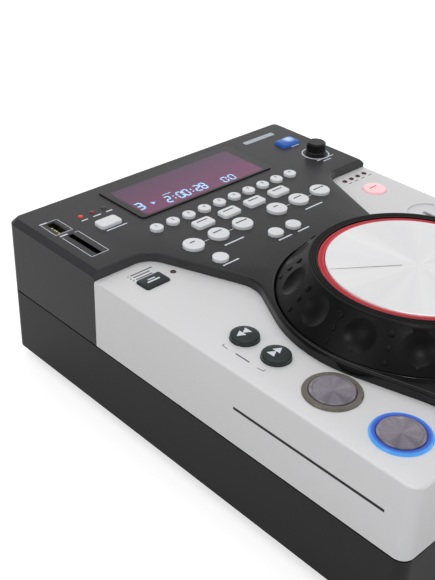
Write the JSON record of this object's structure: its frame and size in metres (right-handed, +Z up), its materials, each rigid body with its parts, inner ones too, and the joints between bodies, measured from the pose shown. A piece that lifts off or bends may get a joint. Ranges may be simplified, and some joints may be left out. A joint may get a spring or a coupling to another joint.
{
  "type": "tabletop DJ CD player",
  "caption": "Tabletop CD player for DJs with a large jog wheel, a pitch fader, a display, pad keys and a slot-in disc drive.",
  "frame": {"origin": "centre of the footprint, on the table under the feet", "axes": "+X to the user's right, +Y to the back of the player, +Z up"},
  "size_m": [0.225, 0.296, 0.1155],
  "materials": {
    "black_housing": "fine matt texture",
    "base_plastic": "fine matt texture",
    "silver_housing": "silver paint, satin",
    "rubber": "matt",
    "red_acrylic": "translucent, satin",
    "spun_metal": "spun, radial sheen",
    "hub_plastic": "matt",
    "brass": "turned",
    "steel": "satin",
    "window_plastic": "clear tinted, polished",
    "display_glass": "dark",
    "circuit_board": "solder mask",
    "light_guide": "clear, frosted",
    "socket_metal": "plated",
    "socket_plastic": "matt",
    "white_key": "satin",
    "grey_key": "satin",
    "blue_key": "translucent, lit",
    "pink_key": "translucent, lit",
    "cap_metal": "spun"
  },
  "bodies": {
    "case": {"base_housing": "base_plastic", "top_housing": "black_housing", "side_panel_left": "silver_housing", "side_panel_right": "silver_housing", "feet": "rubber", "screws": "steel", "jog_bearing": "brass", "display_window": "window_plastic", "display_module": "display_glass", "key_boards": "circuit_board", "circuit_boards": "circuit_board", "light_pipes": "light_guide", "media_sockets": "socket_metal", "rear_sockets": "socket_plastic", "drive_chassis": "steel"},
    "wheel": {"jog_rim": "rubber", "jog_accent_ring": "red_acrylic", "jog_platter": "spun_metal", "jog_hub": "hub_plastic"},
    "plunger": {"encoder_plunger": "steel"},
    "knob": {"track_knob": "rubber"},
    "fader": {"fader_cap": "rubber"},
    "rocker": {"power_rocker": "rubber"},
    "clamp": {"clamp_arm": "steel"},
    "sled": {"pickup_sled": "hub_plastic"},
    "roller": {"feed_roller": "rubber"},
    "spindle": {"spindle_hub": "hub_plastic"},
    "cue_button_body": {"cue_button": "cap_metal"},
    "play_button_body": {"play_button": "cap_metal"},
    "eject_key_body": {"eject_key": "blue_key"},
    "pitch_key_body": {"pitch_key": "pink_key"},
    "search_back_key_body": {"search_back_key": "grey_key"},
    "search_forward_key_body": {"search_forward_key": "grey_key"},
    "jog_mode_key_body": {"jog_mode_key": "grey_key"},
    "bend_up_key_body": {"bend_up_key": "grey_key"},
    "bend_down_key_body": {"bend_down_key": "grey_key"},
    "source_key_body": {"source_key": "white_key"},
    "tap_key_body": {"tap_key": "white_key"},
    "reverse_key_body": {"reverse_key": "white_key"},
    "brake_key_body": {"brake_key": "white_key"},
    "loop_a_in_key_body": {"loop_a_in_key": "white_key"},
    "loop_a_out_key_body": {"loop_a_out_key": "white_key"},
    "loop_a_reloop_key_body": {"loop_a_reloop_key": "white_key"},
    "loop_b_in_key_body": {"loop_b_in_key": "white_key"},
    "loop_b_out_key_body": {"loop_b_out_key": "white_key"},
    "loop_b_reloop_key_body": {"loop_b_reloop_key": "white_key"},
    "bar_key_1_body": {"bar_key_1": "white_key"},
    "bar_key_2_body": {"bar_key_2": "white_key"},
    "bar_key_3_body": {"bar_key_3": "white_key"},
    "bar_key_4_body": {"bar_key_4": "white_key"},
    "num_key_1_body": {"num_key_1": "white_key"},
    "num_key_2_body": {"num_key_2": "white_key"},
    "num_key_3_body": {"num_key_3": "white_key"},
    "num_key_4_body": {"num_key_4": "white_key"},
    "num_key_5_body": {"num_key_5": "white_key"},
    "num_key_6_body": {"num_key_6": "white_key"},
    "num_key_7_body": {"num_key_7": "white_key"},
    "num_key_8_body": {"num_key_8": "white_key"},
    "num_key_9_body": {"num_key_9": "white_key"},
    "num_key_10_body": {"num_key_10": "white_key"}
  },
  "joints": [
    {"name": "jog_turn", "type": "hinge", "parent": "case", "child": "wheel", "pos_m": [0, -0.0595, 0.1], "axis": [0, 0, 1], "continuous": true},
    {"name": "pitch_slide", "type": "slide", "parent": "case", "child": "fader", "axis": [0, 1, 0], "range_m": [-0.03, 0.03]},
    {"name": "track_turn", "type": "hinge", "parent": "plunger", "child": "knob", "pos_m": [0.0932, 0.0916, 0.103], "axis": [0, 0, 1], "continuous": true},
    {"name": "track_push", "type": "slide", "parent": "case", "child": "plunger", "axis": [0, 0, -1], "range_m": [0, 0.0008], "stiffness_N_per_m": 600, "springref_m": -0.001},
    {"name": "power_rock", "type": "hinge", "parent": "case", "child": "rocker", "pos_m": [-0.028, 0.1365, 0.029], "axis": [1, 0, 0], "range_deg": [0, 16]},
    {"name": "clamp_swing", "type": "hinge", "parent": "case", "child": "clamp", "pos_m": [0, 0.0035, 0.0387], "axis": [1, 0, 0], "range_deg": [0, 4.4]},
    {"name": "sled_travel", "type": "slide", "parent": "case", "child": "sled", "axis": [0, 1, 0], "range_m": [0, 0.035]},
    {"name": "roller_turn", "type": "hinge", "parent": "case", "child": "roller", "pos_m": [0, -0.1355, 0.0236], "axis": [1, 0, 0], "continuous": true},
    {"name": "spindle_turn", "type": "hinge", "parent": "case", "child": "spindle", "pos_m": [0, -0.066, 0.025], "axis": [0, 0, 1], "continuous": true},
    {"name": "cue_press", "type": "slide", "parent": "case", "child": "cue_button_body", "axis": [0, 0, -1], "range_m": [0, 0.001], "stiffness_N_per_m": 400, "springref_m": -0.0006},
    {"name": "play_press", "type": "slide", "parent": "case", "child": "play_button_body", "axis": [0, 0, -1], "range_m": [0, 0.001], "stiffness_N_per_m": 400, "springref_m": -0.0006},
    {"name": "eject_press", "type": "slide", "parent": "case", "child": "eject_key_body", "axis": [0, 0, -1], "range_m": [0, 0.001], "stiffness_N_per_m": 400, "springref_m": -0.0006},
    {"name": "pitch_press", "type": "slide", "parent": "case", "child": "pitch_key_body", "axis": [0, 0, -1], "range_m": [0, 0.001], "stiffness_N_per_m": 400, "springref_m": -0.0006},
    {"name": "search_back_press", "type": "slide", "parent": "case", "child": "search_back_key_body", "axis": [0, 0, -1], "range_m": [0, 0.001], "stiffness_N_per_m": 400, "springref_m": -0.0006},
    {"name": "search_forward_press", "type": "slide", "parent": "case", "child": "search_forward_key_body", "axis": [0, 0, -1], "range_m": [0, 0.001], "stiffness_N_per_m": 400, "springref_m": -0.0006},
    {"name": "jog_mode_press", "type": "slide", "parent": "case", "child": "jog_mode_key_body", "axis": [0, 0, -1], "range_m": [0, 0.001], "stiffness_N_per_m": 400, "springref_m": -0.0006},
    {"name": "bend_up_press", "type": "slide", "parent": "case", "child": "bend_up_key_body", "axis": [0, 0, -1], "range_m": [0, 0.001], "stiffness_N_per_m": 400, "springref_m": -0.0006},
    {"name": "bend_down_press", "type": "slide", "parent": "case", "child": "bend_down_key_body", "axis": [0, 0, -1], "range_m": [0, 0.001], "stiffness_N_per_m": 400, "springref_m": -0.0006},
    {"name": "source_press", "type": "slide", "parent": "case", "child": "source_key_body", "axis": [0, 0, -1], "range_m": [0, 0.001], "stiffness_N_per_m": 400, "springref_m": -0.0006},
    {"name": "tap_press", "type": "slide", "parent": "case", "child": "tap_key_body", "axis": [0, 0, -1], "range_m": [0, 0.001], "stiffness_N_per_m": 400, "springref_m": -0.0006},
    {"name": "reverse_press", "type": "slide", "parent": "case", "child": "reverse_key_body", "axis": [0, 0, -1], "range_m": [0, 0.001], "stiffness_N_per_m": 400, "springref_m": -0.0006},
    {"name": "brake_press", "type": "slide", "parent": "case", "child": "brake_key_body", "axis": [0, 0, -1], "range_m": [0, 0.001], "stiffness_N_per_m": 400, "springref_m": -0.0006},
    {"name": "loop_a_in_press", "type": "slide", "parent": "case", "child": "loop_a_in_key_body", "axis": [0, 0, -1], "range_m": [0, 0.001], "stiffness_N_per_m": 400, "springref_m": -0.0006},
    {"name": "loop_a_out_press", "type": "slide", "parent": "case", "child": "loop_a_out_key_body", "axis": [0, 0, -1], "range_m": [0, 0.001], "stiffness_N_per_m": 400, "springref_m": -0.0006},
    {"name": "loop_a_reloop_press", "type": "slide", "parent": "case", "child": "loop_a_reloop_key_body", "axis": [0, 0, -1], "range_m": [0, 0.001], "stiffness_N_per_m": 400, "springref_m": -0.0006},
    {"name": "loop_b_in_press", "type": "slide", "parent": "case", "child": "loop_b_in_key_body", "axis": [0, 0, -1], "range_m": [0, 0.001], "stiffness_N_per_m": 400, "springref_m": -0.0006},
    {"name": "loop_b_out_press", "type": "slide", "parent": "case", "child": "loop_b_out_key_body", "axis": [0, 0, -1], "range_m": [0, 0.001], "stiffness_N_per_m": 400, "springref_m": -0.0006},
    {"name": "loop_b_reloop_press", "type": "slide", "parent": "case", "child": "loop_b_reloop_key_body", "axis": [0, 0, -1], "range_m": [0, 0.001], "stiffness_N_per_m": 400, "springref_m": -0.0006},
    {"name": "bar_1_press", "type": "slide", "parent": "case", "child": "bar_key_1_body", "axis": [0, 0, -1], "range_m": [0, 0.001], "stiffness_N_per_m": 400, "springref_m": -0.0006},
    {"name": "bar_2_press", "type": "slide", "parent": "case", "child": "bar_key_2_body", "axis": [0, 0, -1], "range_m": [0, 0.001], "stiffness_N_per_m": 400, "springref_m": -0.0006},
    {"name": "bar_3_press", "type": "slide", "parent": "case", "child": "bar_key_3_body", "axis": [0, 0, -1], "range_m": [0, 0.001], "stiffness_N_per_m": 400, "springref_m": -0.0006},
    {"name": "bar_4_press", "type": "slide", "parent": "case", "child": "bar_key_4_body", "axis": [0, 0, -1], "range_m": [0, 0.001], "stiffness_N_per_m": 400, "springref_m": -0.0006},
    {"name": "num_1_press", "type": "slide", "parent": "case", "child": "num_key_1_body", "axis": [0, 0, -1], "range_m": [0, 0.001], "stiffness_N_per_m": 400, "springref_m": -0.0006},
    {"name": "num_2_press", "type": "slide", "parent": "case", "child": "num_key_2_body", "axis": [0, 0, -1], "range_m": [0, 0.001], "stiffness_N_per_m": 400, "springref_m": -0.0006},
    {"name": "num_3_press", "type": "slide", "parent": "case", "child": "num_key_3_body", "axis": [0, 0, -1], "range_m": [0, 0.001], "stiffness_N_per_m": 400, "springref_m": -0.0006},
    {"name": "num_4_press", "type": "slide", "parent": "case", "child": "num_key_4_body", "axis": [0, 0, -1], "range_m": [0, 0.001], "stiffness_N_per_m": 400, "springref_m": -0.0006},
    {"name": "num_5_press", "type": "slide", "parent": "case", "child": "num_key_5_body", "axis": [0, 0, -1], "range_m": [0, 0.001], "stiffness_N_per_m": 400, "springref_m": -0.0006},
    {"name": "num_6_press", "type": "slide", "parent": "case", "child": "num_key_6_body", "axis": [0, 0, -1], "range_m": [0, 0.001], "stiffness_N_per_m": 400, "springref_m": -0.0006},
    {"name": "num_7_press", "type": "slide", "parent": "case", "child": "num_key_7_body", "axis": [0, 0, -1], "range_m": [0, 0.001], "stiffness_N_per_m": 400, "springref_m": -0.0006},
    {"name": "num_8_press", "type": "slide", "parent": "case", "child": "num_key_8_body", "axis": [0, 0, -1], "range_m": [0, 0.001], "stiffness_N_per_m": 400, "springref_m": -0.0006},
    {"name": "num_9_press", "type": "slide", "parent": "case", "child": "num_key_9_body", "axis": [0, 0, -1], "range_m": [0, 0.001], "stiffness_N_per_m": 400, "springref_m": -0.0006},
    {"name": "num_10_press", "type": "slide", "parent": "case", "child": "num_key_10_body", "axis": [0, 0, -1], "range_m": [0, 0.001], "stiffness_N_per_m": 400, "springref_m": -0.0006}
  ]
}
